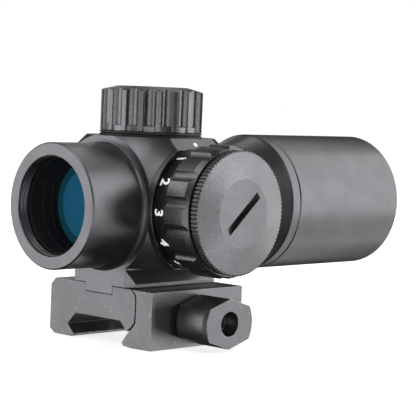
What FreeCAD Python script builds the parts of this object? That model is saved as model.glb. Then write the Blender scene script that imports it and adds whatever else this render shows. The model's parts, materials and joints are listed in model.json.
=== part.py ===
"""Rail-mounted tube red dot sight, built as an assembly of separate pieces.

Frame: origin on the rail seat, midway along the clamp. +X is the dial side, +Y points
at the target and +Z is up. The optical axis runs along Y at axis_height. Every size is
in millimetres and comes from the sheet "dims".
"""
import FreeCAD, Part
import math
import os
import re

import Sketcher
from FreeCAD import Placement, Rotation, Vector

SHEET = "dims"

DIMENSIONS = {
    # optical tube, stations measured forward from the turret axis
    "axis_height": 27.2,
    "tube_outer": 15.0,
    "eyepiece_end": -31.7,
    "edge_break": 0.3,
    "cavity": 12.6,
    "flare_start": 27.8,
    "flare_end": 34.5,
    "bell_outer": 17.7,
    "bell_inner": 16.0,
    "bell_seam": 37.4,
    "seam_gap": 0.4,
    "spigot_outer": 16.3,
    "spigot_end": 42.5,
    "bell_end": 78.7,
    # eyepiece optics
    "mouth_inner": 11.83,
    "lens_shoulder": -17.4,
    "lens_clear": 10.4,
    "rear_lens_face": -20.4,
    "ring_face": -28.5,
    # front window
    "window_seat": 34.4,
    "window_outer": 13.1,
    # saddle and bosses, measured from the optical axis
    "saddle_half": 15.5,
    "saddle_outer": 17.1,
    "saddle_ball": 23.08,
    "saddle_under": 14.5,
    "seat_height": 16.8,
    "boss_outer": 16.27,
    "boss_end": 18.0,
    "boss_flat": 14.1,
    "boss_bore": 11.6,
    "boss_floor": 13.2,
    "dish_floor": 16.45,
    "dish_foot": 14.6,
    "turret_bore": 9.0,
    "fixing_radius": 2.0,
    # riser between saddle and clamp
    "riser_waist": 9.0,
    "riser_foot": 10.9,
    "riser_face": 8.8,
    "waist_drop": 15.0,
    "foot_drop": 18.3,
    "tongue_half": 4.75,
    "tongue_depth": 2.1,
    # turret, heights measured outward from the optical axis
    "seat_ring": 12.65,
    "seat_groove": 12.3,
    "cap_outer": 12.55,
    "cap_rim": 12.1,
    "cap_rim_bore": 11.2,
    "cap_foot": 18.0,
    "rim_height": 1.4,
    "cap_shoulder": 27.85,
    "cap_top": 29.0,
    "cap_flat": 8.6,
    "cap_wall": 2.4,
    "scallop_cutter": 1.75,
    "scallop_centre": 13.15,
    "collar_outer": 10.2,
    "collar_top": 25.4,
    "base_floor": 13.2,
    "drum_outer": 9.1,
    "drum_floor": 20.4,
    "drum_top": 25.0,
    "drum_slot_cutter": 9.0,
    "drum_slot_depth": 0.7,
    "drum_slot_width": 1.2,
    "stem_outer": 3.64,
    "stem_foot": 14.2,
    "plunger_outer": 2.0,
    "plunger_start": 10.35,
    "plunger_end": 18.6,
    "plunger_room": 0.8,
    "click_centre": 6.4,
    "click_ball": 0.6,
    # brightness dial, stations measured along X
    "dial_foot": 14.2,
    "dial_band": 14.7,
    "dial_start": 16.75,
    "dial_outer": 15.86,
    "band_end": 21.75,
    "dial_chamfer": 27.7,
    "dial_end": 28.9,
    "flute_cutter": 2.0,
    "flute_centre": 17.16,
    "hub_outer": 5.0,
    "hub_bore": 2.6,
    "hub_foot": 14.5,
    "hub_step": 16.2,
    "hub_end": 23.0,
    "clip_start": 21.9,
    "clip_width": 0.6,
    "detent_centre": 8.5,
    "detent_ball": 0.8,
    "web_start": 21.6,
    "pocket_inner": 10.15,
    "pocket_floor": 23.8,
    "pocket_step": 26.0,
    "spigot_pocket": 12.5,
    "seal_pocket": 13.7,
    "battery_radius": 10.0,
    "battery_face": 24.3,
    "battery_thick": 3.2,
    # battery cap
    "lid_outer": 14.9,
    "lid_start": 29.3,
    "lid_rim_end": 31.1,
    "lid_face": 32.35,
    "lid_flat": 8.2,
    "lid_skirt": 26.2,
    "lid_inside": 27.9,
    "lid_bore": 10.8,
    "knurl_cutter": 0.29,
    "knurl_centre": 14.75,
    "coin_cutter": 14.2,
    "coin_depth": 1.65,
    "coin_width": 1.8,
    # inner tube and its gimbal
    "inner_outer": 10.2,
    "inner_bore": 9.2,
    "inner_rear": -15.0,
    "inner_front": 31.0,
    "gimbal_station": 26.0,
    "gimbal_inner": 10.9,
    "gimbal_outer": 12.3,
    "gimbal_half": 1.6,
    "pin_radius": 0.78,
    "pin_bore": 0.85,
    # rail clamp, heights measured from the rail seat
    "clamp_half": 15.5,
    "clamp_top": 7.9,
    "clamp_bottom": -5.94,
    "clamp_left": -17.5,
    "jaw_right": 18.65,
    "slot_half": 8.0,
    "vee_depth": 2.9,
    "vee_land": 0.75,
    "left_jaw_foot": -9.3,
    "lip_height": 5.9,
    "base_lip": 12.85,
    "jaw_lip": 13.35,
    "jaw_foot_right": 12.1,
    "jaw_foot_left": 9.3,
    "jaw_hook": 8.85,
    "bolt_height": 0.75,
    "bolt_radius": 2.5,
    "bolt_bore": 2.6,
    "bolt_head": 4.2,
    "bolt_head_start": -17.4,
    "bolt_head_end": -14.4,
    "hex_key": 2.3,
    "hex_depth": 2.0,
    "nut_start": 19.45,
    "nut_end": 29.4,
    "nut_outer": 8.3,
    "nut_ridge": 6.05,
    "nut_slope_drop": 2.78,
    "nut_mouth": 3.0,
    "nut_recess": 4.3,
    "washer_outer": 5.2,
    "screw_pitch_half": 9.5,
    "screw_shank": 1.95,
    "screw_head": 3.5,
    # index dot on the slope beside the dial
    "mark_across": 15.55,
    "mark_height": 15.35,
    "mark_radius": 0.55,
}

FLUTES = 15
SCALLOPS = 18
KNURLS = 96

# turns that carry a piece's own +Z onto the named direction of the assembly
AXIS_TURN = {
    "+Z": Rotation(),
    "+X": Rotation(Vector(1, 1, 1), 120),
    "+Y": Rotation(Vector(1, 1, 1), 240),
    "-X": Rotation(Vector(0, 1, 0), -90),
}

doc = FreeCAD.newDocument("red_dot_sight")
pieces = []


def make_sheet():
    """Write the driving dimensions, one alias per row."""
    sheet = doc.addObject("Spreadsheet::Sheet", SHEET)
    for row, (alias, value) in enumerate(DIMENSIONS.items(), start=1):
        sheet.set(f"A{row}", alias)
        sheet.set(f"B{row}", str(value))
        sheet.setAlias(f"B{row}", alias)
    doc.recompute()


def bound(text):
    """Point every alias in an expression at the sheet."""
    return re.sub(r"[a-z]\w*", lambda match: f"{SHEET}.{match.group()}", str(text))


def number(alias):
    """The value of one driving dimension."""
    return DIMENSIONS[alias]


def place(piece, axis="+Z", base=(0, 0, "axis_height"), spin=0):
    """Turn a piece onto its axis and bind its base point to the sheet."""
    turn = AXIS_TURN[axis].multiply(Rotation(Vector(0, 0, 1), spin))
    piece.Placement = Placement(Vector(0, 0, 0), turn)
    for letter, value in zip("xyz", base):
        piece.setExpression(f"Placement.Base.{letter}", bound(value))


def keep(piece, name):
    """Name a finished piece and list it for export."""
    piece.Label = name
    pieces.append(piece)
    return piece


# sketches and features -------------------------------------------------------------

def origin_feature(body, role):
    return next(item for item in body.Origin.OriginFeatures if item.Role == role)


def new_body(name, axis="+Z", base=(0, 0, "axis_height"), spin=0):
    body = doc.addObject("PartDesign::Body", name)
    place(body, axis, base, spin)
    return keep(body, name)


def new_sketch(body, plane, offset=0):
    """An empty sketch on one of the body's origin planes, lifted by offset."""
    sketch = body.newObject("Sketcher::SketchObject", f"{body.Name}_sketch")
    sketch.AttachmentSupport = [(origin_feature(body, plane), "")]
    sketch.MapMode = "FlatFace"
    sketch.setExpression("AttachmentOffset.Base.z", bound(offset))
    return sketch


def fix_point(sketch, element, corner, across, along):
    """Hold one point of an element at a place given by two expressions."""
    for kind, value in (("DistanceX", across), ("DistanceY", along)):
        rule = Sketcher.Constraint(kind, -1, 1, element, corner, 1.0)
        index = sketch.addConstraint(rule)
        sketch.setExpression(f"Constraints[{index}]", bound(value))


def draw_outline(sketch, points):
    """Draw a closed outline of straight lines through the given points."""
    count = len(points)
    first = sketch.GeometryCount
    angles = [2 * math.pi * step / count for step in range(count)]
    start = [Vector(math.cos(angle), math.sin(angle), 0) for angle in angles]
    for step in range(count):
        sketch.addGeometry(Part.LineSegment(start[step], start[(step + 1) % count]))
    for step in range(count):
        following = first + (step + 1) % count
        sketch.addConstraint(Sketcher.Constraint("Coincident", first + step, 2, following, 1))
    for step, (across, along) in enumerate(points):
        fix_point(sketch, first + step, 1, across, along)


def draw_circle(sketch, radius, across=0, along=0):
    """Draw a circle whose radius and centre are expressions."""
    circle = Part.Circle(Vector(0, 0, 0), Vector(0, 0, 1), 1.0)
    element = sketch.addGeometry(circle)
    index = sketch.addConstraint(Sketcher.Constraint("Radius", element, 1.0))
    sketch.setExpression(f"Constraints[{index}]", bound(radius))
    fix_point(sketch, element, 3, across, along)


def add_feature(body, kind, sketch, length=None, **settings):
    """Add a sketch-based feature and bind its length."""
    feature = body.newObject(f"PartDesign::{kind}", f"{body.Name}_{kind.lower()}")
    feature.Profile = sketch
    for name, value in settings.items():
        setattr(feature, name, value)
    if length is not None:
        feature.setExpression("Length", bound(length))
    return feature


def revolve(body, kind, plane, line, points, angle=360):
    """Turn an outline about the vertical or horizontal axis of its sketch."""
    sketch = new_sketch(body, plane)
    draw_outline(sketch, points)
    return add_feature(body, kind, sketch, ReferenceAxis=(sketch, [line]), Angle=angle)


def turned(name, axis, points, base=(0, 0, "axis_height"), spin=0, angle=360):
    """A lathe-turned piece from (radius, station) points."""
    body = new_body(name, axis, base, spin)
    revolve(body, "Revolution", "XZ_Plane", "V_Axis", points, angle)
    return body


def ring(name, axis, inner, outer, start, end, base=(0, 0, "axis_height")):
    """A plain ring, washer or disc with square edges."""
    points = [(inner, start), (outer, start), (outer, end), (inner, end)]
    return turned(name, axis, points, base)


def drill(body, plane, radius, across, along, offset, length, **settings):
    """Cut a round hole square to one of the body's planes."""
    sketch = new_sketch(body, plane, offset)
    draw_circle(sketch, radius, across, along)
    return add_feature(body, "Pocket", sketch, length, **settings)


def repeat_around(body, feature, count):
    """Repeat a feature evenly about the body's own Z axis."""
    pattern = body.newObject("PartDesign::PolarPattern", f"{body.Name}_pattern")
    pattern.Originals = [feature]
    pattern.Axis = (origin_feature(body, "Z_Axis"), [""])
    pattern.Angle = 360
    pattern.Occurrences = count
    body.Tip = pattern
    return pattern


# primitives ------------------------------------------------------------------------

def rod(name, radius, length, axis, base):
    """A plain cylinder that starts at its base point."""
    cylinder = doc.addObject("Part::Cylinder", name)
    cylinder.setExpression("Radius", bound(radius))
    cylinder.setExpression("Height", bound(length))
    place(cylinder, axis, base)
    return cylinder


def block(name, size, base):
    """A plain box that starts at its lowest corner."""
    box = doc.addObject("Part::Box", name)
    for side, value in zip(("Length", "Width", "Height"), size):
        box.setExpression(side, bound(value))
    place(box, "+Z", base)
    return box


def group(name, members):
    """Several separate solids kept as one named piece."""
    fused = doc.addObject("Part::MultiFuse", name)
    fused.Shapes = members
    return keep(fused, name)


def ball(name, radius, base):
    sphere = doc.addObject("Part::Sphere", name)
    sphere.setExpression("Radius", bound(radius))
    place(sphere, "+Z", base)
    return keep(sphere, name)


def seal_ring(name, major, minor, axis, base):
    """A round-section seal."""
    torus = doc.addObject("Part::Torus", name)
    torus.setExpression("Radius1", bound(major))
    torus.setExpression("Radius2", bound(minor))
    place(torus, axis, base)
    return keep(torus, name)


def coil_spring(name, radius, wire, length, turns, axis, base):
    """A small compression spring with open ends."""
    helix = Part.makeHelix(length / turns, length, radius)
    start = Vector(radius, 0, 0)
    section = Part.Wire(Part.Circle(start, Vector(0, 1, 0), wire).toShape())
    spring = doc.addObject("Part::Feature", name)
    spring.Shape = Part.Wire(helix).makePipeShell([section], True, True)
    turn = AXIS_TURN[axis]
    spring.Placement = Placement(Vector(*base), turn)
    return keep(spring, name)


# the main housing ------------------------------------------------------------------

def saddle(body):
    """A ball-turned block, planed into seats for the turrets with sloped webs between."""
    ball = number("saddle_ball")
    half = number("saddle_half")
    rim = math.sqrt(ball ** 2 - half ** 2)
    swing = math.asin(half / ball)
    corners = [Vector(0, -half, 0), Vector(rim, -half, 0), Vector(rim, half, 0), Vector(0, half, 0)]
    sketch = new_sketch(body, "XY_Plane")
    sketch.addGeometry(Part.LineSegment(corners[0], corners[1]))
    full = Part.Circle(Vector(0, 0, 0), Vector(0, 0, 1), ball)
    sketch.addGeometry(Part.ArcOfCircle(full, -swing, swing))
    sketch.addGeometry(Part.LineSegment(corners[2], corners[3]))
    sketch.addGeometry(Part.LineSegment(corners[3], corners[0]))
    for element in range(4):
        following = (element + 1) % 4
        sketch.addConstraint(Sketcher.Constraint("Coincident", element, 2, following, 1))
    sketch.addConstraint(Sketcher.Constraint("Coincident", 1, 3, -1, 1))
    for line in (0, 2):
        sketch.addConstraint(Sketcher.Constraint("Horizontal", line))
    index = sketch.addConstraint(Sketcher.Constraint("Radius", 1, ball))
    sketch.setExpression(f"Constraints[{index}]", bound("saddle_ball"))
    fix_point(sketch, 0, 1, 0, "-saddle_half")
    fix_point(sketch, 3, 1, 0, "saddle_half")
    add_feature(body, "Revolution", sketch, ReferenceAxis=(sketch, ["V_Axis"]), Angle=360)

    around = "saddle_ball + 2"
    sketch = new_sketch(body, "XZ_Plane")
    draw_outline(sketch, [(f"-({around})", f"-({around})"), (around, f"-({around})"),
                          (around, around), (f"-({around})", around)])
    draw_outline(sketch, [
        ("-boss_flat", "seat_height"),
        ("boss_flat", "seat_height"),
        ("seat_height", "boss_flat"),
        ("seat_height", "-saddle_under"),
        ("-seat_height", "-saddle_under"),
        ("-seat_height", "boss_flat"),
    ])
    add_feature(body, "Pocket", sketch, "saddle_half * 2 + 1", Midplane=True)


def dial_boss(body):
    """A round boss along +X with its top and bottom planed flat."""
    radius = number("boss_outer")
    level = number("boss_flat")
    reach = math.sqrt(radius ** 2 - level ** 2)
    sketch = new_sketch(body, "YZ_Plane")
    swing = math.asin(level / radius)
    full = Part.Circle(Vector(0, 0, 0), Vector(0, 0, 1), radius)
    sketch.addGeometry(Part.ArcOfCircle(full, -swing, swing))
    sketch.addGeometry(Part.LineSegment(Vector(reach, level, 0), Vector(-reach, level, 0)))
    sketch.addGeometry(Part.ArcOfCircle(full, math.pi - swing, math.pi + swing))
    sketch.addGeometry(Part.LineSegment(Vector(-reach, -level, 0), Vector(reach, -level, 0)))
    for element in range(4):
        following = (element + 1) % 4
        sketch.addConstraint(Sketcher.Constraint("Coincident", element, 2, following, 1))
    for arc in (0, 2):
        sketch.addConstraint(Sketcher.Constraint("Coincident", arc, 3, -1, 1))
    for line in (1, 3):
        sketch.addConstraint(Sketcher.Constraint("Horizontal", line))
    for kind, element, value in (("Radius", 0, "boss_outer"), ("Radius", 2, "boss_outer")):
        index = sketch.addConstraint(Sketcher.Constraint(kind, element, radius))
        sketch.setExpression(f"Constraints[{index}]", bound(value))
    for line, value in ((1, "boss_flat"), (3, "-boss_flat")):
        rule = Sketcher.Constraint("DistanceY", -1, 1, line, 1, math.copysign(level, 2 - line))
        index = sketch.addConstraint(rule)
        sketch.setExpression(f"Constraints[{index}]", bound(value))
    add_feature(body, "Pad", sketch, "boss_end")


def trim_saddle_ends(body):
    """Plane the saddle's two end faces around the tube."""
    for side in ("-", ""):
        near = f"{side}saddle_half"
        far = f"{side}(saddle_half + 3)"
        points = [(0, near), ("saddle_outer", near), ("saddle_outer", far), (0, far)]
        revolve(body, "Groove", "XY_Plane", "V_Axis", points)


def outer_tube(body):
    """Eyepiece tube, neck, flare and threaded front spigot."""
    points = [
        (0, "eyepiece_end"),
        ("tube_outer - edge_break", "eyepiece_end"),
        ("tube_outer", "eyepiece_end + edge_break"),
        ("tube_outer", "-saddle_half - 0.9"),
        ("tube_outer + 0.3", "-saddle_half - 0.3"),
        ("tube_outer + 0.9", "-saddle_half"),
        ("tube_outer + 0.9", 0),
        ("tube_outer", "saddle_half + 0.9"),
        ("tube_outer", "flare_start"),
        ("bell_outer - edge_break", "flare_end - edge_break"),
        ("bell_outer", "flare_end + edge_break"),
        ("bell_outer", "bell_seam"),
        ("spigot_outer", "bell_seam"),
        ("spigot_outer", "spigot_end"),
        (0, "spigot_end"),
    ]
    revolve(body, "Revolution", "XY_Plane", "V_Axis", points)


def riser(body):
    """The foot that widens downward to the clamp, with a locating tongue."""
    foot = "-(foot_drop + 0.85)"
    tongue = "-(foot_drop + 0.85 + tongue_depth)"
    right = [
        ("riser_waist", -12),
        ("riser_waist", "-waist_drop"),
        ("riser_foot", "-foot_drop"),
        ("riser_foot", foot),
        ("tongue_half", foot),
        ("tongue_half", tongue),
    ]
    left = [(f"-({across})", along) for across, along in reversed(right)]
    sketch = new_sketch(body, "XZ_Plane")
    draw_outline(sketch, right + left)
    add_feature(body, "Pad", sketch, "saddle_half * 2", Midplane=True)

    sketch = new_sketch(body, "XY_Plane", "-(waist_drop - 0.45)")
    for side in ("", "-"):
        for end in ("", "-"):
            corner = [
                (f"{side}riser_face", f"{end}(saddle_half + 0.1)"),
                (f"{side}(riser_foot + 1)", f"{end}(saddle_half + 0.1)"),
                (f"{side}(riser_foot + 1)", f"{end}(saddle_half + riser_face - riser_foot - 1)"),
            ]
            draw_outline(sketch, corner)
    add_feature(body, "Pocket", sketch, 8)


def housing_bores(body):
    """The optical bore, the turret and dial bores and the small fixing holes."""
    bore = [
        (0, "eyepiece_end - 1"),
        ("mouth_inner + 0.15", "eyepiece_end - 1"),
        ("mouth_inner + 0.15", "eyepiece_end"),
        ("mouth_inner", "eyepiece_end + 0.25"),
        ("mouth_inner", "lens_shoulder"),
        ("lens_clear", "lens_shoulder"),
        ("lens_clear", "lens_shoulder + 1"),
        ("cavity", "lens_shoulder + 1"),
        ("cavity", "window_seat"),
        ("window_outer + 0.1", "window_seat"),
        ("window_outer + 0.1", "spigot_end + 1"),
        (0, "spigot_end + 1"),
    ]
    revolve(body, "Groove", "XY_Plane", "V_Axis", bore)

    dish = [
        ("dish_floor", 0),
        ("dish_floor", "dish_foot"),
        ("boss_end", "boss_outer - 0.15"),
        ("boss_end + 1", "boss_outer - 0.15"),
        ("boss_end + 1", 0),
    ]
    revolve(body, "Groove", "XZ_Plane", "H_Axis", dish)

    drill(body, "XY_Plane", "turret_bore", 0, 0, 0, "seat_height + 1", Reversed=True)
    drill(body, "YZ_Plane", "turret_bore", 0, 0, 0, "seat_height + 1")
    drill(body, "YZ_Plane", "boss_bore", 0, 0, "boss_floor", 6, Reversed=True)
    drill(body, "YZ_Plane", "fixing_radius", -8, 0, 8, 6, Reversed=True)
    drill(body, "YZ_Plane", "pin_bore", "gimbal_station", 0, 0, 27.8, Midplane=True)
    for side in ("", "-"):
        station = f"{side}screw_pitch_half"
        drill(body, "XY_Plane", "fixing_radius", 0, station, -22, 8, Reversed=True)


def main_housing():
    body = new_body("main_housing")
    saddle(body)
    dial_boss(body)
    trim_saddle_ends(body)
    outer_tube(body)
    riser(body)
    housing_bores(body)


def objective_bell():
    """The plain front tube that screws over the housing's spigot."""
    start = "bell_seam + seam_gap"
    turned("objective_bell", "+Y", [
        ("spigot_outer + 0.05", start),
        ("bell_outer - 0.2", start),
        ("bell_outer", f"{start} + 0.2"),
        ("bell_outer", "bell_end - edge_break"),
        ("bell_outer - edge_break", "bell_end"),
        ("bell_inner + edge_break", "bell_end"),
        ("bell_inner", "bell_end - edge_break"),
        ("bell_inner", "spigot_end + 0.5"),
        ("spigot_outer + 0.05", "spigot_end + 0.5"),
    ])


# optics ----------------------------------------------------------------------------

def eyepiece_optics():
    """Rear lens, its seal and the stepped ring that holds it."""
    ring("rear_lens", "+Y", 0, "mouth_inner - 0.1", "rear_lens_face", "lens_shoulder - 0.02")
    seat = "rear_lens_face - 0.5"
    ring("rear_lens_seal", "+Y", 10.5, "mouth_inner - 0.05", seat, "rear_lens_face")
    turned("rear_retaining_ring", "+Y", [
        (11.3, "ring_face"),
        ("mouth_inner - 0.05", "ring_face"),
        ("mouth_inner - 0.05", seat),
        (10.5, seat),
        (10.5, "ring_face + 6"),
        (10.9, "ring_face + 6"),
        (10.9, "ring_face + 3.6"),
        (11.2, "ring_face + 3.6"),
        (11.2, "ring_face + 0.3"),
    ])


def front_optics():
    """Protective window, its seal and the threaded ring in front of it."""
    glass_end = "window_seat + 2.2"
    ring("front_window", "+Y", 0, "window_outer", "window_seat", glass_end)
    ring("front_window_seal", "+Y", 12, "window_outer", glass_end, f"{glass_end} + 0.5")
    turned("front_retaining_ring", "+Y", [
        (12, f"{glass_end} + 0.5"),
        ("window_outer", f"{glass_end} + 0.5"),
        ("window_outer", f"{glass_end} + 4.5"),
        (12.4, f"{glass_end} + 4.5"),
        (12, f"{glass_end} + 4.1"),
    ])


def inner_tube():
    """The tube that carries the emitter and the reflex lens, aimed by the turrets."""
    body = turned("inner_tube", "+Y", [
        ("inner_bore", "inner_rear"),
        ("inner_outer - 0.3", "inner_rear"),
        ("inner_outer", "inner_rear + 0.3"),
        ("inner_outer", "inner_front"),
        ("inner_bore + 0.2", "inner_front"),
        ("inner_bore + 0.2", "inner_front - 4"),
        ("inner_bore", "inner_front - 4"),
    ])
    drill(body, "XZ_Plane", 1.6, 0, -8, 0, 12)
    drill(body, "YZ_Plane", 0.8, 0, "gimbal_station", 0, 24, Midplane=True)
    glass = "inner_front - 4"
    ring("reflex_lens", "+Y", 0, "inner_bore + 0.15", glass, f"{glass} + 2.2")
    ring("reflex_lens_ring", "+Y", 8.3, "inner_bore + 0.15", f"{glass} + 2.25", "inner_front")


def emitter():
    """The light-emitting diode, its holder on the tube wall and its ribbon."""
    keep(block("led_holder", (2.4, 4, 3.2), (6.6, -10, "axis_height - 1.6")), "led_holder")
    keep(rod("led_emitter", 0.8, 1.2, "+Y", (7.8, -6, "axis_height")), "led_emitter")
    ribbon = block("led_ribbon", (3.4, 1.2, 0.3), (9.05, -8.6, "axis_height - 0.15"))
    keep(ribbon, "led_ribbon")


def gimbal():
    """The ring that lets the inner tube tip up and down and swing sideways."""
    start = "gimbal_station - gimbal_half"
    end = "gimbal_station + gimbal_half"
    body = ring("gimbal_ring", "+Y", "gimbal_inner", "gimbal_outer", start, end)
    drill(body, "YZ_Plane", "pin_bore", 0, "gimbal_station", 0, 26, Midplane=True)
    drill(body, "XZ_Plane", 0.8, 0, "gimbal_station", 0, 26, Midplane=True)
    across = [rod(f"gimbal_pin_{index}", "pin_radius", 2.6, "+X",
                  (base, "gimbal_station", "axis_height"))
              for index, base in enumerate((11.1, -13.7))]
    group("gimbal_pins", across)
    upright = [rod(f"tube_pin_{index}", "pin_radius", 2.5, "+Z",
                   (0, "gimbal_station", f"axis_height + {base}"))
               for index, base in enumerate((9.6, -12.1))]
    group("tube_pins", upright)


def return_spring():
    """A curved leaf that bears on the inner tube opposite the two adjusters."""
    points = [(11.9, -4), (12.2, -4), (12.2, 4), (11.9, 4)]
    turned("tube_return_spring", "+Y", points, spin=105, angle=60)


# turrets ---------------------------------------------------------------------------

def turret(name, axis, spin):
    """One adjuster with its collar, drum, plunger, click parts and cap."""
    base_bore = "stem_outer + 0.06"
    body = turned(f"{name}_base", axis, [
        (base_bore, "base_floor"),
        ("turret_bore - 0.05", "base_floor"),
        ("turret_bore - 0.05", "seat_height"),
        ("seat_ring", "seat_height"),
        ("seat_ring", "seat_height + 0.4"),
        ("seat_groove", "seat_height + 0.45"),
        ("seat_groove", "seat_height + 0.65"),
        ("seat_ring", "seat_height + 0.7"),
        ("seat_ring", "cap_foot - 0.1"),
        ("collar_outer", "cap_foot - 0.1"),
        ("collar_outer", "collar_top"),
        ("drum_outer + 0.1", "collar_top"),
        ("drum_outer + 0.1", "drum_floor"),
        (base_bore, "drum_floor"),
    ])
    drill(body, "XY_Plane", "click_ball + 0.05", "click_centre", 0, "drum_floor", 2.2)

    drum_foot = "drum_floor + 0.1"
    groove = "drum_floor + 0.7"
    socket = "plunger_outer + 0.06"
    body = turned(f"{name}_adjuster", axis, [
        (socket, "stem_foot"),
        ("stem_outer", "stem_foot"),
        ("stem_outer", drum_foot),
        ("click_centre - 0.8", drum_foot),
        ("click_centre - 0.8", groove),
        ("click_centre + 0.8", groove),
        ("click_centre + 0.8", drum_foot),
        ("drum_outer", drum_foot),
        ("drum_outer", "drum_top - 0.4"),
        ("drum_outer - 0.4", "drum_top"),
        (0, "drum_top"),
        (0, "plunger_end + plunger_room"),
        (socket, "plunger_end + plunger_room"),
    ])
    coin_slot(body, "drum_top", "drum_slot_cutter", "drum_slot_depth", "drum_slot_width")

    ring(f"{name}_plunger", axis, 0, "plunger_outer", "plunger_start", "plunger_end")
    turret_click(name, axis)
    turret_cap(name, axis, spin)


def coin_slot(body, face, cutter, depth, width):
    """A slot with a curved floor, as a disc cutter leaves it."""
    sketch = new_sketch(body, "XZ_Plane")
    draw_circle(sketch, cutter, 0, f"{face} + {cutter} - {depth}")
    add_feature(body, "Pocket", sketch, width, Midplane=True)


def turret_click(name, axis):
    """The ball and spring that make the adjuster click, and the cap's seal."""
    reach = number("click_centre")
    height = number("axis_height")
    if axis == "+Z":
        centre = ("click_centre", 0, "axis_height + drum_floor - 0.05")
        spring_base = (reach, 0, height + number("drum_floor") - 2.05)
        seal = (0, 0, "axis_height + cap_foot + 0.55")
    else:
        centre = ("-(drum_floor - 0.05)", 0, "axis_height + click_centre")
        spring_base = (2.05 - number("drum_floor"), 0, height + reach)
        seal = ("-(cap_foot + 0.55)", 0, "axis_height")
    ball(f"{name}_click_ball", "click_ball", centre)
    coil_spring(f"{name}_click_spring", 0.42, 0.1, 1.2, 4, axis, spring_base)
    seal_ring(f"{name}_cap_seal", "collar_outer + 0.45", 0.4, axis, seal)


def turret_cap(name, axis, spin):
    """The screw-on cap: scalloped sides, a low conical top and a rim across the scallops."""
    rim_top = "cap_foot + rim_height"
    roof = "cap_top - cap_wall"
    body = turned(f"{name}_cap", axis, [
        ("cap_rim_bore", "cap_foot"),
        ("cap_outer - 0.15", "cap_foot"),
        ("cap_outer", "cap_foot + 0.15"),
        ("cap_outer", "cap_shoulder"),
        ("cap_outer - 0.25", "cap_shoulder + 0.2"),
        ("cap_flat", "cap_top"),
        (0, "cap_top"),
        (0, roof),
        ("collar_outer + 0.2", roof),
        ("collar_outer + 0.2", rim_top),
        ("cap_rim_bore", rim_top),
    ], spin=spin)
    scallop = drill(body, "XY_Plane", "scallop_cutter", "scallop_centre", 0, "cap_foot - 0.1",
                    "cap_top - cap_foot + 1", Reversed=True)
    repeat_around(body, scallop, SCALLOPS)
    rim = [("cap_rim_bore", "cap_foot"), ("cap_rim", "cap_foot"),
           ("cap_rim", rim_top), ("cap_rim_bore", rim_top)]
    body.Tip = revolve(body, "Revolution", "XZ_Plane", "V_Axis", rim)


# brightness dial and battery -------------------------------------------------------

def dial_hub():
    """The fixed axle of the dial, with its board, clip, seal and detent."""
    clip_end = "clip_start + clip_width"
    body = turned("dial_hub", "+X", [
        ("hub_bore", "hub_foot"),
        ("boss_bore - 0.1", "hub_foot"),
        ("boss_bore - 0.1", "hub_step"),
        ("hub_outer", "hub_step"),
        ("hub_outer", "clip_start"),
        ("hub_outer - 0.7", "clip_start"),
        ("hub_outer - 0.7", clip_end),
        ("hub_outer", clip_end),
        ("hub_outer", "hub_end"),
        ("hub_bore", "hub_end"),
    ])
    drill(body, "XY_Plane", "detent_ball + 0.05", "detent_centre", 0, "hub_step", 1.4)
    ring("circuit_board", "+X", 0, "boss_bore - 0.2", "boss_floor + 0.2", "boss_floor + 1.2")
    ring("dial_clip", "+X", "hub_outer - 0.65", 6.4, "clip_start + 0.02", f"{clip_end} - 0.02")
    ring("dial_seal", "+X", 5.9, 6.4, "hub_step", "hub_step + 0.45")
    ball("dial_detent_ball", "detent_ball", ("hub_step + 0.25", "detent_centre", "axis_height"))
    spring_base = (number("hub_step") - 1.25, number("detent_centre"), number("axis_height"))
    coil_spring("dial_detent_spring", 0.55, 0.12, 0.55, 2, "+X", spring_base)


def brightness_dial():
    """The fluted dial with its slightly conical numeral band and battery pocket."""
    body = turned("brightness_dial", "+X", [
        ("hub_outer + 0.06", "dial_start"),
        (7.2, "dial_start"),
        (7.2, "dial_start + 0.85"),
        (9.8, "dial_start + 0.85"),
        (9.8, "dial_start"),
        ("dial_foot", "dial_start"),
        ("dial_band", "band_end - 0.15"),
        ("dial_outer - 0.15", "band_end - 0.15"),
        ("dial_outer", "band_end"),
        ("dial_outer", "dial_chamfer"),
        ("dial_outer - 0.76", "dial_end"),
        ("seal_pocket", "dial_end"),
        ("seal_pocket", "dial_end - 0.9"),
        ("spigot_pocket", "dial_end - 0.9"),
        ("spigot_pocket", "pocket_step"),
        ("pocket_inner", "pocket_step"),
        ("pocket_inner", "pocket_floor"),
        (7, "pocket_floor"),
        (7, "web_start"),
        ("hub_outer + 0.06", "web_start"),
    ], spin=3.3)
    flute = drill(body, "XY_Plane", "flute_cutter", "flute_centre", 0, "band_end - 0.3", 9,
                  Reversed=True)
    repeat_around(body, flute, FLUTES)


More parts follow.
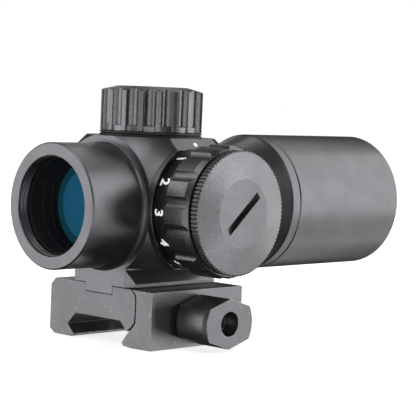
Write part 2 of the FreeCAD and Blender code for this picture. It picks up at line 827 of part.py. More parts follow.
def battery_parts():
    """The coin cell, the dished contact under it and the screw lid."""
    turned("battery_spring", "+X", [
        (3, 23.15), (6.6, 23.95), (6.6, 24.2), (3, 23.4),
    ])
    far = "battery_face + battery_thick"
    turned("battery", "+X", [
        (0, "battery_face"),
        ("battery_radius - 0.6", "battery_face"),
        ("battery_radius - 0.6", "battery_face + 0.3"),
        ("battery_radius - 0.2", "battery_face + 0.3"),
        ("battery_radius", "battery_face + 0.6"),
        ("battery_radius", f"{far} - 0.3"),
        ("battery_radius - 0.3", far),
        (0, far),
    ])
    body = turned("battery_cap", "+X", [
        (0, "lid_inside"),
        ("lid_bore", "lid_inside"),
        ("lid_bore", "lid_skirt"),
        ("spigot_pocket - 0.1", "lid_skirt"),
        ("spigot_pocket - 0.1", "lid_start"),
        ("lid_outer - 0.3", "lid_start"),
        ("lid_outer", "lid_start + 0.25"),
        ("lid_outer", "lid_rim_end"),
        ("lid_outer - 0.15", "lid_rim_end + 0.15"),
        ("lid_flat", "lid_face"),
        (0, "lid_face"),
    ], spin=41.5)
    coin_slot(body, "lid_face", "coin_cutter", "coin_depth", "coin_width")
    notch = drill(body, "XY_Plane", "knurl_cutter", "knurl_centre", 0, "lid_start - 0.1", 2.3,
                  Reversed=True)
    repeat_around(body, notch, KNURLS)
    seal_ring("battery_cap_seal", 13.05, 0.42, "+X", ("dial_end - 0.3", 0, "axis_height"))


# rail clamp ------------------------------------------------------------------------

ROW = (0, 0, 0)


def clamp_base():
    """The fixed half of the clamp: left jaw, rail slot and right upper face."""
    vee = "slot_half + vee_depth"
    groove = "tongue_half + 0.1"
    floor = "clamp_top - tongue_depth"
    body = new_body("clamp_base", base=ROW)
    sketch = new_sketch(body, "XZ_Plane")
    draw_outline(sketch, [
        ("clamp_left + 1.6", "clamp_top"),
        ("clamp_left", "clamp_top - 1.7"),
        ("clamp_left", "clamp_bottom + 1.1"),
        ("clamp_left + 1.9", "clamp_bottom"),
        ("left_jaw_foot", "clamp_bottom"),
        ("-(slot_half + 0.5)", "-(vee_depth + 2.4)"),
        (f"-({vee})", "-vee_depth"),
        ("-slot_half", 0),
        ("slot_half", 0),
        (f"{vee} - vee_land", "-(vee_depth - vee_land)"),
        (f"{vee} - 0.4", "-(vee_depth - 0.7)"),
        ("base_lip - 0.65", "-vee_land + 0.05"),
        ("base_lip - 0.05", 0.3),
        ("base_lip", "lip_height"),
        ("base_lip - 0.45", "lip_height + 1.1"),
        ("base_lip - 1.55", "clamp_top"),
        (groove, "clamp_top"),
        (groove, floor),
        (f"-({groove})", floor),
        (f"-({groove})", "clamp_top"),
    ])
    add_feature(body, "Pad", sketch, "clamp_half * 2", Midplane=True)
    drill(body, "YZ_Plane", "bolt_bore", 0, "bolt_height", 0, 50, Midplane=True)
    drill(body, "YZ_Plane", "bolt_head + 0.2", 0, "bolt_height", "bolt_head_end", 6)
    for side in ("", "-"):
        station = f"{side}screw_pitch_half"
        drill(body, "XY_Plane", "screw_shank + 0.1", 0, station, -1, 10, Reversed=True)
        drill(body, "XY_Plane", "screw_head + 0.1", 0, station, -1, 3.5, Reversed=True)


def moving_jaw():
    """The half of the clamp that the nut pulls against the rail."""
    body = new_body("moving_jaw", base=ROW)
    sketch = new_sketch(body, "XZ_Plane")
    draw_outline(sketch, [
        ("jaw_lip - 1.65", "clamp_top"),
        ("jaw_right", "clamp_top"),
        ("jaw_right", "clamp_bottom"),
        ("jaw_foot_right", "clamp_bottom - 0.1"),
        ("jaw_foot_left", "clamp_bottom + 0.15"),
        ("jaw_hook", "clamp_bottom + 0.89"),
        ("jaw_hook + 1.9", "-(vee_depth - 0.3)"),
        ("jaw_lip - 0.75", "-vee_land - 0.15"),
        ("jaw_lip - 0.1", 0.1),
        ("jaw_lip", "lip_height"),
        ("jaw_lip - 0.5", "lip_height + 1.15"),
    ])
    add_feature(body, "Pad", sketch, "clamp_half * 2", Midplane=True)
    drill(body, "YZ_Plane", "bolt_bore", 0, "bolt_height", 0, 60, Midplane=True)
    washer_end = "nut_start - 0.1"
    height = (0, 0, "bolt_height")
    ring("clamp_washer", "+X", "bolt_bore", "washer_outer", "jaw_right", washer_end, height)


def clamp_nut():
    """A turned nut with four flats that meet in a ridge above and below."""
    body = turned("clamp_nut", "+X", [
        ("bolt_radius + 0.08", "nut_start"),
        ("nut_outer - 0.4", "nut_start"),
        ("nut_outer", "nut_start + 0.4"),
        ("nut_outer", "nut_end - 1.1"),
        ("nut_outer - 0.5", "nut_end"),
        ("nut_mouth", "nut_end"),
        ("nut_mouth", "nut_end - nut_recess"),
        ("bolt_radius + 0.08", "nut_end - nut_recess"),
    ], base=(0, 0, "bolt_height"))
    sketch = new_sketch(body, "XY_Plane", "nut_start - 1")
    for side in ("", "-"):
        low = f"{side}(nut_ridge - nut_slope_drop)"
        high = f"{side}(nut_outer + 1)"
        wide = "nut_outer + 0.7"
        draw_outline(sketch, [(f"-({wide})", low), (0, f"{side}nut_ridge"), (wide, low),
                              (wide, high), (f"-({wide})", high)])
    add_feature(body, "Pocket", sketch, 12, Reversed=True)


def cross_bolt():
    """The bolt through both jaws; its shank is also the recoil stop in the slot."""
    tip = "nut_end - nut_recess - 0.2"
    body = turned("cross_bolt", "+X", [
        (0, "bolt_head_start"),
        ("bolt_head - 0.4", "bolt_head_start"),
        ("bolt_head", "bolt_head_start + 0.4"),
        ("bolt_head", "bolt_head_end"),
        ("bolt_radius", "bolt_head_end"),
        ("bolt_radius", f"{tip} - 0.3"),
        ("bolt_radius - 0.3", tip),
        (0, tip),
    ], base=(0, 0, "bolt_height"))
    sketch = new_sketch(body, "XY_Plane", "bolt_head_start + hex_depth")
    corners = []
    for step in range(6):
        angle = math.radians(60 * step)
        corners.append((f"hex_key * {math.cos(angle):.6f}", f"hex_key * {math.sin(angle):.6f}"))
    draw_outline(sketch, corners)
    add_feature(body, "Pocket", sketch, "hex_depth + 1")


def base_screws():
    """Two cap screws that hold the clamp base to the riser."""
    members = []
    for index, side in enumerate(("", "-")):
        station = f"{side}screw_pitch_half"
        shank = rod(f"screw_shank_{index}", "screw_shank", 10.4, "+Z", (0, station, 2.4))
        head = rod(f"screw_head_{index}", "screw_head", 2.2, "+Z", (0, station, 0.25))
        socket = rod(f"screw_socket_{index}", 1.2, 1.6, "+Z", (0, station, 0))
        bored = doc.addObject("Part::Cut", f"screw_bored_{index}")
        bored.Base = head
        bored.Tool = socket
        members += [bored, shank]
    group("base_screws", members)


def index_mark():
    """The raised dot on the web's slope that the dial is read against."""
    centre = ("mark_across", 0, "axis_height + mark_height")
    dot = rod("index_mark", "mark_radius", 0.12, "+Z", centre)
    dot.Placement = Placement(Vector(0, 0, 0), Rotation(Vector(0, 1, 0), 45))
    keep(dot, "index_mark")


# export ----------------------------------------------------------------------------

def check_document():
    """Stop if any object failed or any piece is not a valid solid."""
    for item in doc.Objects:
        if {"Invalid", "Error"} & set(item.State):
            raise RuntimeError(f"{item.Name} failed: {item.State}")
    for piece in pieces:
        shape = piece.Shape
        if shape.isNull() or not shape.isValid() or not shape.Solids:
            raise RuntimeError(f"{piece.Label} is not a valid solid")
        print(f"{piece.Label:24s} {len(shape.Solids)} {shape.Volume:10.2f}")


def write_parts():
    os.makedirs("parts", exist_ok=True)
    for piece in pieces:
        piece.Shape.exportStep(f"parts/{piece.Label}.step")


make_sheet()
main_housing()
objective_bell()
eyepiece_optics()
front_optics()
inner_tube()
emitter()
gimbal()
return_spring()
turret("elevation", "+Z", -26.4)
turret("windage", "-X", 0)
dial_hub()
brightness_dial()
battery_parts()
clamp_base()
moving_jaw()
clamp_nut()
cross_bolt()
base_screws()
index_mark()
doc.recompute()
check_document()
write_parts()
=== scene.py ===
"""Looks of a red dot finder: camera, studio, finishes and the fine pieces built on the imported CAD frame."""
import json
import math

import bmesh
import bpy
from mathutils import Matrix, Vector

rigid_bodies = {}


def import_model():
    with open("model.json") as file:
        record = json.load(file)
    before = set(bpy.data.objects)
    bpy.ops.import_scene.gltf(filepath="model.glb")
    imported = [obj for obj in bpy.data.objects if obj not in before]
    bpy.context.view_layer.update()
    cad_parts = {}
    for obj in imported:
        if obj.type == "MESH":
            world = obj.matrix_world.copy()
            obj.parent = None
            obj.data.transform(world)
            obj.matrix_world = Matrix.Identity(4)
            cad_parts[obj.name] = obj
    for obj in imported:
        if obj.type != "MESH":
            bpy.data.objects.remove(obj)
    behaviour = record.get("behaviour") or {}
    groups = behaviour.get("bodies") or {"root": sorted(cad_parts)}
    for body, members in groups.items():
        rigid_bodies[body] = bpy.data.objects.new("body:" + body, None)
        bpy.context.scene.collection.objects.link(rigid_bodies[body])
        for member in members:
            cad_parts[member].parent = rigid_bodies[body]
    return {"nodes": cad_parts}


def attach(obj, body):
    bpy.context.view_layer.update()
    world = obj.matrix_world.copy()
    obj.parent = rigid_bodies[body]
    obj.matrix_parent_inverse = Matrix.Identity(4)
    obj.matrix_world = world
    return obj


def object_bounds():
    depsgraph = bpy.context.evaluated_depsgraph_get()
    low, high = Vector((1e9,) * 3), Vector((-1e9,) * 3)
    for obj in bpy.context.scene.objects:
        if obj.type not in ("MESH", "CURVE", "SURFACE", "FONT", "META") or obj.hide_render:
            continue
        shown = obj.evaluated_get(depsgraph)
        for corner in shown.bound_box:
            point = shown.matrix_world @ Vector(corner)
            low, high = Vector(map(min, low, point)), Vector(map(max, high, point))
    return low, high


for leftover in list(bpy.data.objects):
    bpy.data.objects.remove(leftover, do_unlink=True)
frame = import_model()
cad_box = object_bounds()

MM = 0.001
scene = bpy.context.scene
nodes = frame["nodes"]


# ---- camera -------------------------------------------------------------------------------------

CAMERA_PLACE = (0.28429, -0.27521, 0.05319)
CAMERA_RIGHT = (0.71960, 0.69315, 0.04154)
CAMERA_UP = (-0.07615, 0.01931, 0.99691)
CAMERA_BACK = (0.69021, -0.72054, 0.06668)
CAMERA_LENS = 138.08
CAMERA_SENSOR = 36.0


def add_camera():
    """The camera at the fitted place: behind the eyepiece, on the dial's side, a little above the axis."""
    data = bpy.data.cameras.new("camera")
    data.sensor_width = CAMERA_SENSOR
    data.lens = CAMERA_LENS
    data.clip_start = 0.01
    data.clip_end = 50.0
    camera = bpy.data.objects.new("camera", data)
    scene.collection.objects.link(camera)
    axes = Matrix((CAMERA_RIGHT, CAMERA_UP, CAMERA_BACK)).transposed()
    camera.matrix_world = Matrix.Translation(CAMERA_PLACE) @ axes.to_4x4()
    scene.camera = camera


# ---- materials ----------------------------------------------------------------------------------

AXIS_HEIGHT = 27.2 * MM
LENS_CLEAR = 8.5 * MM
BLACK = (0.0, 0.0, 0.0)
WHITE = (1.0, 1.0, 1.0, 1.0)

# anodised aluminium: tones of the parts and of their paler edges, partly real wear and partly a painted
# highlight
HOUSING_TONE = (0.115, 0.115, 0.122)
KNOB_TONE = (0.125, 0.125, 0.132)
NUT_TONE = (0.098, 0.098, 0.104)
CLAMP_TONE = (0.107, 0.107, 0.113)
# painted shade: the collars' tone is darkened for the shade they sit in
COLLAR_SHADE_TONE = (0.035, 0.035, 0.038)
COLLAR_EDGE = (0.10, 0.10, 0.105)
BAFFLE_TONE = (0.010, 0.010, 0.011)
BAFFLE_EDGE = (0.08, 0.08, 0.085)
EDGE_WEAR_AND_HIGHLIGHT_TONE = (0.24, 0.24, 0.25)
WORN_AND_HIGHLIGHT_TONE = (0.55, 0.55, 0.56)
WEAR_AND_HIGHLIGHT_EDGE = 0.28 * MM
HOUSING_ROUGHNESS = 0.32
KNOB_ROUGHNESS = 0.29
METALLIC = 0.88

# its grain, cloudiness, dust, and wear that also paints edge highlights: the size of each pattern, then how
# much it shows
FINE_GRAIN = 0.3 * MM
EDGE_ROUNDING = 0.2 * MM
GRAIN_RELIEF = 0.03 * MM
CLOUD_SIZE = 6.0 * MM
CLOUD_DEPTH = 0.08
SPECK_SIZE = 2.2
SPECK_SHARE = 0.22
WEAR_SIZE = 0.8 * MM
WEAR_AND_HIGHLIGHT_SHARE = 0.75

# the painted shade on the turned flat of the battery cap, and the painted shade in hollows
DISC_RADIUS = 8.2 * MM
DISC_PAINTED_SHADE = 0.22
PAINTED_SHADE_REACH = 0.7 * MM
PAINTED_CAVITY_SHADE = 0.9

COLLARS = ("elevation_base", "windage_base")
BAFFLES = ("rear_retaining_ring", "front_retaining_ring", "rear_lens_seal", "inner_tube")
BAFFLE_GLOSS = 0.15
CLAMP_PARTS = ("clamp_base", "moving_jaw", "clamp_nut")

class Finish:
    """One node material around a Principled shader, with short calls to add and join nodes."""

    def __init__(self, name, colour, roughness, metallic=0.0, **sockets):
        self.material = bpy.data.materials.new(name)
        self.material.use_nodes = True
        self.tree = self.material.node_tree
        self.shader = self.tree.nodes["Principled BSDF"]
        self.set("Base Color", (*colour, 1.0))
        self.set("Roughness", roughness)
        self.set("Metallic", metallic)
        for socket, value in sockets.items():
            self.set(socket.replace("_", " "), value)
        self.place = self.add("ShaderNodeTexCoord").outputs["Object"]

    def set(self, socket, value):
        self.shader.inputs[socket].default_value = value

    def add(self, kind, settings=None, **inputs):
        """A node with its settings, and with each input a value or another node's output."""
        made = self.tree.nodes.new(kind)
        for key, value in (settings or {}).items():
            setattr(made, key, value)
        for key, value in inputs.items():
            socket = made.inputs[int(key[1:])] if key[0] == "i" and key[1:].isdigit() else made.inputs[key]
            if isinstance(value, bpy.types.NodeSocket):
                self.tree.links.new(value, socket)
            else:
                socket.default_value = value
        return made

    def join(self, output, socket):
        self.tree.links.new(output, self.shader.inputs[socket])

    def noise(self, grain, detail=2.0, stretch=(1.0, 1.0, 1.0), rough=0.5):
        """Noise with features about grain metres across, from 0 to 1."""
        mapped = self.add("ShaderNodeMapping", Vector=self.place, Scale=stretch)
        made = self.add("ShaderNodeTexNoise", Vector=mapped.outputs["Vector"], Scale=1.0 / grain,
                        Detail=detail, Roughness=rough)
        return made.outputs["Fac"]

    def spread(self, value, low, high, start=0.3, end=0.7):
        """value, from start to end, carried to low to high."""
        made = self.add("ShaderNodeMapRange", Value=value)
        made.inputs["From Min"].default_value = start
        made.inputs["From Max"].default_value = end
        made.inputs["To Min"].default_value = low
        made.inputs["To Max"].default_value = high
        return made.outputs["Result"]

    def mix(self, factor, first, second):
        made = self.add("ShaderNodeMix", {"data_type": "RGBA"}, i0=factor)
        for index, value in ((6, first), (7, second)):
            if isinstance(value, bpy.types.NodeSocket):
                self.tree.links.new(value, made.inputs[index])
            else:
                made.inputs[index].default_value = (*value, 1.0)
        return made.outputs[2]

    def bump(self, height, distance, strength=1.0, normal=None):
        made = self.add("ShaderNodeBump", Height=height, Distance=distance, Strength=strength)
        if normal is not None:
            self.tree.links.new(normal, made.inputs["Normal"])
        return made.outputs["Normal"]

    def off_axis(self, across):
        """The distance from the line through the axis height that runs square to across."""
        flattened = self.add("ShaderNodeVectorMath", {"operation": "MULTIPLY"}, i0=self.place, i1=across)
        distance = self.add("ShaderNodeVectorMath", {"operation": "DISTANCE"}, i0=flattened.outputs[0],
                            i1=(0.0, 0.0, AXIS_HEIGHT))
        return distance.outputs["Value"]

    def edge(self, radius, samples=4):
        """The rounded normal at edges, and how far it leans from the face's own, from 0 to 1."""
        rounded = self.add("ShaderNodeBevel", {"samples": samples}, Radius=radius).outputs["Normal"]
        flat = self.add("ShaderNodeNewGeometry").outputs["Normal"]
        match = self.add("ShaderNodeVectorMath", {"operation": "DOT_PRODUCT"}, i0=rounded, i1=flat)
        return rounded, self.spread(match.outputs["Value"], 1.0, 0.0, 0.80, 0.995)


def anodised(name, colour, worn_and_highlight, roughness, metallic, rounding=EDGE_ROUNDING, relief=GRAIN_RELIEF, disc=None):
    """Bead-blasted black anodised aluminium: a fine grain, a cloudy tone, paler edges of wear and painted
    highlight, painted shade in hollows.

    With disc, the turned flat inside that radius of the dial's axis is painted a little darker, a painted
    shade for its dimmer reflection.
    """
    finish = Finish(name, colour, roughness, metallic)
    cloud = finish.noise(CLOUD_SIZE, 3.0)
    fine = finish.noise(FINE_GRAIN, 3.0, rough=0.65)
    speck = finish.noise(FINE_GRAIN * SPECK_SIZE, 1.0)
    wear = finish.noise(WEAR_SIZE, 4.0)
    rounded, lean = finish.edge(rounding)
    darker = [c * (1.0 - CLOUD_DEPTH) for c in colour]
    paler = [c * (1.0 + CLOUD_DEPTH) for c in colour]
    shade = finish.mix(finish.spread(cloud, 0.0, 1.0), darker, paler)
    dusty = finish.mix(finish.spread(speck, 0.0, SPECK_SHARE, 0.68, 0.80), shade, worn_and_highlight)
    # paler rounded edges: partly real wear, partly a painted highlight along the edges
    rub_and_highlight = finish.add("ShaderNodeMath", {"operation": "MULTIPLY"}, i0=lean,
                     i1=finish.spread(wear, 0.0, WEAR_AND_HIGHLIGHT_SHARE, 0.42, 0.62))
    shown = finish.mix(rub_and_highlight.outputs[0], dusty, worn_and_highlight)
    # painted shade: the turned flat is darkened in its colour for its dimmer reflection
    if disc:
        radius = finish.off_axis((0.0, 1.0, 1.0))
        inside = finish.spread(radius, DISC_PAINTED_SHADE, 0.0, disc - 0.05 * MM, disc + 0.05 * MM)
        shown = finish.mix(inside, shown, BLACK)
    # painted shade: the colour goes towards black in hollows, corners and seams that ambient occlusion finds
    open_sky = finish.add("ShaderNodeAmbientOcclusion", {"samples": 6}, Distance=PAINTED_SHADE_REACH).outputs["AO"]
    shown = finish.mix(finish.spread(open_sky, PAINTED_CAVITY_SHADE, 0.0, 0.30, 0.80), shown, BLACK)
    finish.join(shown, "Base Color")
    finish.join(finish.spread(fine, roughness - 0.05, roughness + 0.06), "Roughness")
    finish.join(finish.bump(fine, relief, 0.9, rounded), "Normal")
    return finish.material


def rubber(name):
    """Dull black seal rubber with a fine bloom."""
    finish = Finish(name, (0.012, 0.012, 0.013), 0.62)
    fine = finish.noise(0.0003, 4.0)
    finish.join(finish.mix(finish.spread(fine, 0.0, 1.0), (0.009, 0.009, 0.010), (0.018, 0.018, 0.019)),
                "Base Color")
    finish.join(finish.bump(fine, 0.00002, 0.5), "Normal")
    return finish.material


def turned_metal(name, colour, dark, roughness, metallic=1.0):
    """Bare turned metal: fine tool lines and a little dulling."""
    finish = Finish(name, colour, roughness, metallic)
    lines = finish.noise(0.0016, 2.0, (0.05, 12.0, 12.0))
    cloud = finish.noise(0.003, 3.0)
    finish.join(finish.mix(finish.spread(cloud, 0.0, 1.0), dark, colour), "Base Color")
    finish.join(finish.spread(lines, roughness - 0.07, roughness + 0.1), "Roughness")
    finish.join(finish.bump(lines, 0.00001, 0.4), "Normal")
    return finish.material


def coated_lens(name, clear, edge, painted_glow, tint):
    """Coated glass with a painted glow for the one colour it throws back, clear in the middle and darker in a
    ring at the edge, painted shade.
    """
    finish = Finish(name, edge, 0.04, 0.0, IOR=1.5)
    radius = finish.off_axis((1.0, 0.0, 1.0))
    veil = finish.noise(0.003, 3.0)
    # painted shade: a darker ring at the lens edge
    ring = finish.spread(radius, 0.0, 1.0, LENS_CLEAR - 0.1 * MM, LENS_CLEAR + 0.15 * MM)
    tone = finish.mix(ring, clear, edge)
    cloudy = finish.mix(finish.spread(veil, 0.0, 0.12), tone, [c * 1.6 for c in clear])
    finish.join(cloudy, "Base Color")
    # painted reflection: the lens glows in its own colour though it is no lamp
    finish.join(cloudy, "Emission Color")
    finish.set("Emission Strength", painted_glow)
    finish.set("Specular Tint", (*tint, 1.0))
    finish.join(finish.spread(veil, 0.03, 0.06), "Roughness")
    return finish.material


def mottled(name, colour, other, roughness, metallic=0.0, grain=0.0004, depth=0.00001, **sockets):
    """A moulded or painted surface with a fine mottle."""
    finish = Finish(name, colour, roughness, metallic, **sockets)
    fine = finish.noise(grain, 3.0)
    finish.join(finish.mix(finish.spread(fine, 0.0, 1.0), colour, other), "Base Color")
    finish.join(finish.spread(fine, roughness - 0.05, roughness + 0.08), "Roughness")
    finish.join(finish.bump(fine, depth, 0.4), "Normal")
    return finish.material


def make_materials():
    """One material for each slot of the record."""
    return {
        "housing_black": anodised("housing_black", HOUSING_TONE, EDGE_WEAR_AND_HIGHLIGHT_TONE, HOUSING_ROUGHNESS, METALLIC),
        "knob_black": anodised("knob_black", KNOB_TONE, EDGE_WEAR_AND_HIGHLIGHT_TONE, KNOB_ROUGHNESS, METALLIC),
        "lens_blue": coated_lens("lens_blue", (0.008, 0.062, 0.112), (0.004, 0.026, 0.036), 0.75,
                                 (0.07, 0.55, 1.0)),
        "lens_clear": coated_lens("lens_clear", (0.012, 0.006, 0.022), (0.006, 0.003, 0.010), 0.3,
                                  (0.75, 0.35, 1.0)),
        "seal_rubber": rubber("seal_rubber"),
        "inner_aluminium": turned_metal("inner_aluminium", (0.05, 0.05, 0.055), (0.03, 0.03, 0.033),
                                        0.45, 0.7),
        "steel": turned_metal("steel", (0.42, 0.42, 0.43), (0.30, 0.30, 0.31), 0.32),
        "contact_brass": turned_metal("contact_brass", (0.72, 0.52, 0.24), (0.50, 0.36, 0.17), 0.28),
        "board_green": mottled("board_green", (0.02, 0.11, 0.05), (0.03, 0.16, 0.07), 0.35),
        "moulded_plastic": mottled("moulded_plastic", (0.03, 0.03, 0.032), (0.05, 0.05, 0.052), 0.5),
        "emitter_red": mottled("emitter_red", (0.55, 0.02, 0.015), (0.70, 0.04, 0.02), 0.3),
        # painted light: the white marks glow a little though they are no lamp
        "mark_white": mottled("mark_white", (0.90, 0.90, 0.90), (0.84, 0.84, 0.84), 0.5,
                              Emission_Color=WHITE, Emission_Strength=0.45),
    }


def dress_nodes():
    """Each CAD node takes its slot's material, or a finish of its own where its surface differs or where
    shade is painted into it (the collars, the battery cap's flat).
    """
    # painted shade: the collars take a much darker copy of the anodising for the shade they sit in
    collar = anodised("collar_painted_shade", COLLAR_SHADE_TONE, COLLAR_EDGE, 0.55, 0.6, relief=0.04 * MM)
    baffle = anodised("baffle_black", BAFFLE_TONE, BAFFLE_EDGE, 0.6, 0.0)
    baffle.node_tree.nodes["Principled BSDF"].inputs["Specular IOR Level"].default_value = BAFFLE_GLOSS
    special = {name: collar for name in COLLARS} | {name: baffle for name in BAFFLES}
    special["battery_cap"] = anodised("cap_black", KNOB_TONE, EDGE_WEAR_AND_HIGHLIGHT_TONE, KNOB_ROUGHNESS, METALLIC,
                                      disc=DISC_RADIUS)
    for name in CLAMP_PARTS:
        tone = NUT_TONE if name == "clamp_nut" else CLAMP_TONE
        special[name] = anodised(f"{name}_black", tone, WORN_AND_HIGHLIGHT_TONE, HOUSING_ROUGHNESS, METALLIC,
                                 rounding=WEAR_AND_HIGHLIGHT_EDGE)
    for name, node in nodes.items():
        slot = node.data.materials[0].name
        node.material_slots[0].material = special.get(name, materials[slot])


# ---- pieces -------------------------------------------------------------------------------------

DIAL_FOOT = (16.75 * MM, 14.2 * MM)
DIAL_BAND = (21.6 * MM, 14.7 * MM)
NUMERAL_STATION = 18.45 * MM
NUMERAL_SIZE = 4.1 * MM
NUMERAL_WIDTH = 0.92
NUMERAL_FIRST = 88.0
NUMERAL_STEP = 30.0
NUMERALS = 12
GLYPH_BOLDNESS = 0.026
GLYPH_THICKNESS = 0.012
GLYPH_WELD = 0.0005
GLYPH_LONGEST_EDGE = 0.12
THREAD_STEPS = 96
THREAD_FADE = 24.0
THREAD_SUNK = 0.02 * MM


def new_piece(name, mesh_source, body, slot):
    """A mesh from a bmesh, with its slot's material, riding on a body."""
    mesh = bpy.data.meshes.new(name)
    mesh_source.to_mesh(mesh)
    mesh_source.free()
    piece = bpy.data.objects.new(name, mesh)
    scene.collection.objects.link(piece)
    mesh.materials.append(materials[slot])
    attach(piece, body)
    return piece


def glyph(text):
    """A bold numeral as a flat solid, centred on the origin, in units of the font's size."""
    curve = bpy.data.curves.new("glyph", "FONT")
    curve.body = text
    curve.size = 1.0
    curve.align_x = "CENTER"
    curve.align_y = "CENTER"
    curve.offset = GLYPH_BOLDNESS
    curve.extrude = GLYPH_THICKNESS
    curve.resolution_u = 6
    holder = bpy.data.objects.new("glyph", curve)
    scene.collection.objects.link(holder)
    bpy.context.view_layer.update()
    mesh = bpy.data.meshes.new_from_object(holder.evaluated_get(bpy.context.evaluated_depsgraph_get()))
    bpy.data.objects.remove(holder, do_unlink=True)
    return mesh


def dial_numerals():
    """Painted numerals around the dial's band, with their tops towards the dial's face."""
    together = bmesh.new()
    slope = (DIAL_BAND[1] - DIAL_FOOT[1]) / (DIAL_BAND[0] - DIAL_FOOT[0])
    for index in range(NUMERALS):
        shape = bmesh.new()
        shape.from_mesh(glyph(str(index)))
        bmesh.ops.remove_doubles(shape, verts=shape.verts, dist=GLYPH_WELD)
        long_edges = [edge for edge in shape.edges if edge.calc_length() > GLYPH_LONGEST_EDGE]
        bmesh.ops.subdivide_edges(shape, edges=long_edges, cuts=4)
        bmesh.ops.triangulate(shape, faces=shape.faces)
        middle = math.radians(NUMERAL_FIRST - NUMERAL_STEP * index)
        for vertex in shape.verts:
            station = NUMERAL_STATION + vertex.co.y * NUMERAL_SIZE
            radius = DIAL_FOOT[1] + slope * (station - DIAL_FOOT[0]) + vertex.co.z * NUMERAL_SIZE
            turn = middle - vertex.co.x * NUMERAL_SIZE * NUMERAL_WIDTH / radius
            vertex.co = (station, -radius * math.cos(turn), AXIS_HEIGHT + radius * math.sin(turn))
        patch = bpy.data.meshes.new("patch")
        shape.to_mesh(patch)
        shape.free()
        together.from_mesh(patch)
    return new_piece("dial_numerals", together, "dial", "mark_white")


def internal_thread(name, radius, depth, start, end, pitch):
    """A helical ridge inside a mouth, with its flanks sunk a little into the wall."""
    count = int((end - start - pitch) / pitch * THREAD_STEPS)
    made = bmesh.new()
    previous = None
    for step in range(count + 1):
        turn = 2.0 * math.pi * step / THREAD_STEPS
        along = start + pitch * step / THREAD_STEPS
        fade = min(1.0, step / THREAD_FADE, (count - step) / THREAD_FADE)
        section = []
        for shift, inward in ((0.0, -THREAD_SUNK), (0.45 * pitch, depth * fade), (0.9 * pitch, -THREAD_SUNK)):
            reach = radius - inward
            section.append(made.verts.new((reach * math.cos(turn), along + shift,
                                           AXIS_HEIGHT + reach * math.sin(turn))))
        if previous:
            for index in range(3):
                other = (index + 1) % 3
                made.faces.new((previous[index], previous[other], section[other], section[index]))
        else:
            made.faces.new(section)
        previous = section
    made.faces.new(list(reversed(previous)))
    bmesh.ops.recalc_face_normals(made, faces=made.faces)
    return new_piece(name, made, "sight", "housing_black")


def add_pieces():
    """The fine pieces that the CAD leaves to the looks."""
    dial_numerals()
    internal_thread("eyepiece_thread", 11.83 * MM, 0.22 * MM, -31.3 * MM, -28.55 * MM, 0.5 * MM)
    internal_thread("objective_thread", 16.0 * MM, 0.25 * MM, 75.2 * MM, 78.35 * MM, 0.6 * MM)


# ---- studio -------------------------------------------------------------------------------------

TARGET = Vector((0.0, 0.02, 0.02))
LIGHT_DISTANCE = 0.8


def softbox(name, azimuth, elevation, width, height, watts):
    """An area light aimed at the object. Azimuth runs from behind the eyepiece towards the dial's side."""
    a, e = math.radians(azimuth), math.radians(elevation)
    way = Vector((math.sin(a) * math.cos(e), -math.cos(a) * math.cos(e), math.sin(e)))
    data = bpy.data.lights.new(name, "AREA")
    data.shape = "RECTANGLE"
    data.size, data.size_y = width, height
    data.energy = watts
    light = bpy.data.objects.new(name, data)
    scene.collection.objects.link(light)
    facing = way.to_track_quat("Z", "Y").to_matrix().to_4x4()
    light.matrix_world = Matrix.Translation(TARGET + way * LIGHT_DISTANCE) @ facing


LIGHTS = (
    # name, azimuth, elevation, width, height, watts
    ("right_wall", 152.0, 16.0, 0.80, 0.90, 5.8),
    ("right_low", 150.0, -28.0, 0.70, 0.40, 1.2),
    ("right_strip", 123.0, 6.0, 0.15, 0.80, 1.8),
    ("high_back", 200.0, 48.0, 0.60, 0.35, 1.0),
    ("far_back", 232.0, 5.0, 0.25, 0.60, 0.25),
    ("under_back", 180.0, -50.0, 0.60, 0.30, 0.9),
    ("left_low", 302.0, -6.0, 0.50, 0.55, 1.8),
    ("left_high", 300.0, 26.0, 0.40, 0.30, 1.0),
    ("rear_wall", 335.0, 2.0, 0.55, 0.50, 2.3),
    ("rear_low", 28.0, -12.0, 0.50, 0.70, 1.6),
    ("rear_high", 310.0, 55.0, 0.50, 0.40, 0.6),
    ("top_box", 0.0, 64.0, 0.40, 0.40, 1.5),
    ("side_high", 60.0, 45.0, 0.50, 0.40, 1.4),
    ("side_low", 56.0, -12.0, 0.30, 0.40, 1.5),
)
AMBIENT = 0.01
FLOOR_SIDE = 3.0
FLOOR_GLOW = 0.8
FLOOR_WHITE = 1.05


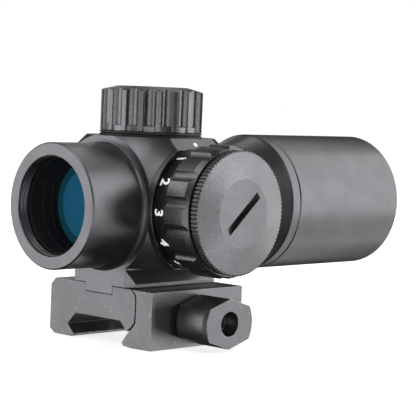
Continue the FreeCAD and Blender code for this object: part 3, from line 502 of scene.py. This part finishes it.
def add_floor():
    """A pale floor that only the camera sees, its glow painted dimmer near the object and brighter away from
    it to meet the surround.
    """
    lowest = cad_box[0].z
    corners = [(x * FLOOR_SIDE, y * FLOOR_SIDE, lowest) for x, y in ((-1, -1), (1, -1), (1, 1), (-1, 1))]
    mesh = bpy.data.meshes.new("floor")
    mesh.from_pydata(corners, [], [(0, 1, 2, 3)])
    floor = bpy.data.objects.new("floor", mesh)
    scene.collection.objects.link(floor)
    floor.visible_diffuse = False
    floor.visible_glossy = False
    floor.visible_shadow = False
    paper = Finish("floor_paper", (0.9, 0.9, 0.9), 0.9)
    fibre = paper.noise(0.02, 3.0)
    paper.join(paper.mix(paper.spread(fibre, 0.0, 1.0), (0.5, 0.5, 0.5), (0.54, 0.54, 0.54)), "Base Color")
    away = paper.add("ShaderNodeVectorMath", {"operation": "DISTANCE"}, i0=paper.place,
                     i1=(TARGET.x, TARGET.y, lowest)).outputs["Value"]
    # painted light: the glow strength rises from FLOOR_GLOW near the object to FLOOR_WHITE away from it
    paper.join(paper.spread(away, FLOOR_GLOW, FLOOR_WHITE, 0.05, 0.16), "Emission Strength")
    paper.set("Emission Color", WHITE)
    mesh.materials.append(paper.material)


def add_surround():
    """White behind the object, and a dim even light on it."""
    world = bpy.data.worlds.new("surround")
    scene.world = world
    world.use_nodes = True
    tree = world.node_tree
    sky = tree.nodes["Background"]
    rays = tree.nodes.new("ShaderNodeLightPath")
    strength = tree.nodes.new("ShaderNodeMapRange")
    strength.inputs["To Min"].default_value = AMBIENT
    strength.inputs["To Max"].default_value = 1.0
    tree.links.new(rays.outputs["Is Camera Ray"], strength.inputs["Value"])
    tree.links.new(strength.outputs["Result"], sky.inputs["Strength"])
    sky.inputs["Color"].default_value = WHITE


def add_studio():
    """The floor, the surround and the soft boxes, shown without a film look."""
    add_floor()
    add_surround()
    for row in LIGHTS:
        softbox(*row)
    scene.view_settings.view_transform = "Standard"


add_camera()
materials = make_materials()
dress_nodes()
add_pieces()
add_studio()
